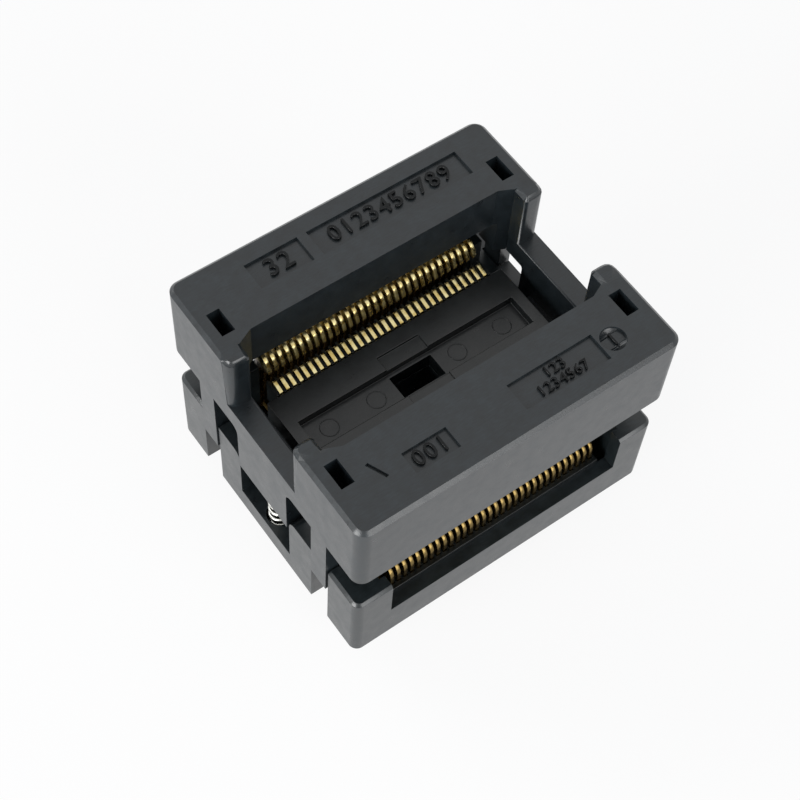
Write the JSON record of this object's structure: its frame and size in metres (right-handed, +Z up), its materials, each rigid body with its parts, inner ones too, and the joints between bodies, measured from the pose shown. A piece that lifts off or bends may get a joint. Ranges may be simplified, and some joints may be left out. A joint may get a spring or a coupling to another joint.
{
  "type": "ic test socket adapter",
  "caption": "Open-top test socket with a sprung push-down frame that swings two rows of fine-pitch contact arms clear of a flat two-row package.",
  "frame": {"origin": "middle of the base's underside, in the plane of the board that the socket stands on", "axes": "+X along the two contact rows, +Y across them towards the back row, +Z up and away from the board"},
  "size_m": [0.023, 0.0198, 0.0189],
  "materials": {
    "base_plastic": "dark grey glass-filled moulding, fine spark-eroded texture",
    "cover_plastic": "dark grey glass-filled moulding, fine spark-eroded texture",
    "contact_gold": "gold-plated beryllium copper strip",
    "spring_steel": "bright drawn stainless spring wire"
  },
  "bodies": {
    "base": {"base_housing": "base_plastic", "package_seat": "base_plastic", "inner_comb_back": "base_plastic", "inner_comb_front": "base_plastic", "outer_comb_back": "base_plastic", "outer_comb_front": "base_plastic", "tail_guide_back": "base_plastic", "tail_guide_front": "base_plastic", "contacts_back_near": "contact_gold", "contacts_back_far": "contact_gold", "contacts_front_near": "contact_gold", "contacts_front_far": "contact_gold", "spring_left": "spring_steel", "spring_right": "spring_steel"},
    "cover": {"cover_frame": "cover_plastic"},
    "arms_back": {"arms_back_near": "contact_gold", "arms_back_far": "contact_gold"},
    "arms_front": {"arms_front_near": "contact_gold", "arms_front_far": "contact_gold"}
  },
  "joints": [
    {"name": "cover_press", "type": "slide", "parent": "base", "child": "cover", "axis": [0, 0, -1], "range_m": [0, 0.003], "stiffness_N_per_m": 1000, "springref_m": -0.001, "deforming": ["spring_left", "spring_right"]},
    {"name": "arms_back_swing", "type": "hinge", "parent": "base", "child": "arms_back", "pos_m": [0, 0.00605, 0.00465], "axis": [-1, 0, 0], "range_deg": [0, 8.1]},
    {"name": "arms_front_swing", "type": "hinge", "parent": "base", "child": "arms_front", "pos_m": [0, -0.00605, 0.00465], "axis": [1, 0, 0], "range_deg": [0, 8.1]}
  ],
  "couplings": [
    {"joint": "arms_back_swing", "follows": "cover_press", "rad_per_m": 46.667},
    {"joint": "arms_front_swing", "follows": "cover_press", "rad_per_m": 46.667}
  ]
}
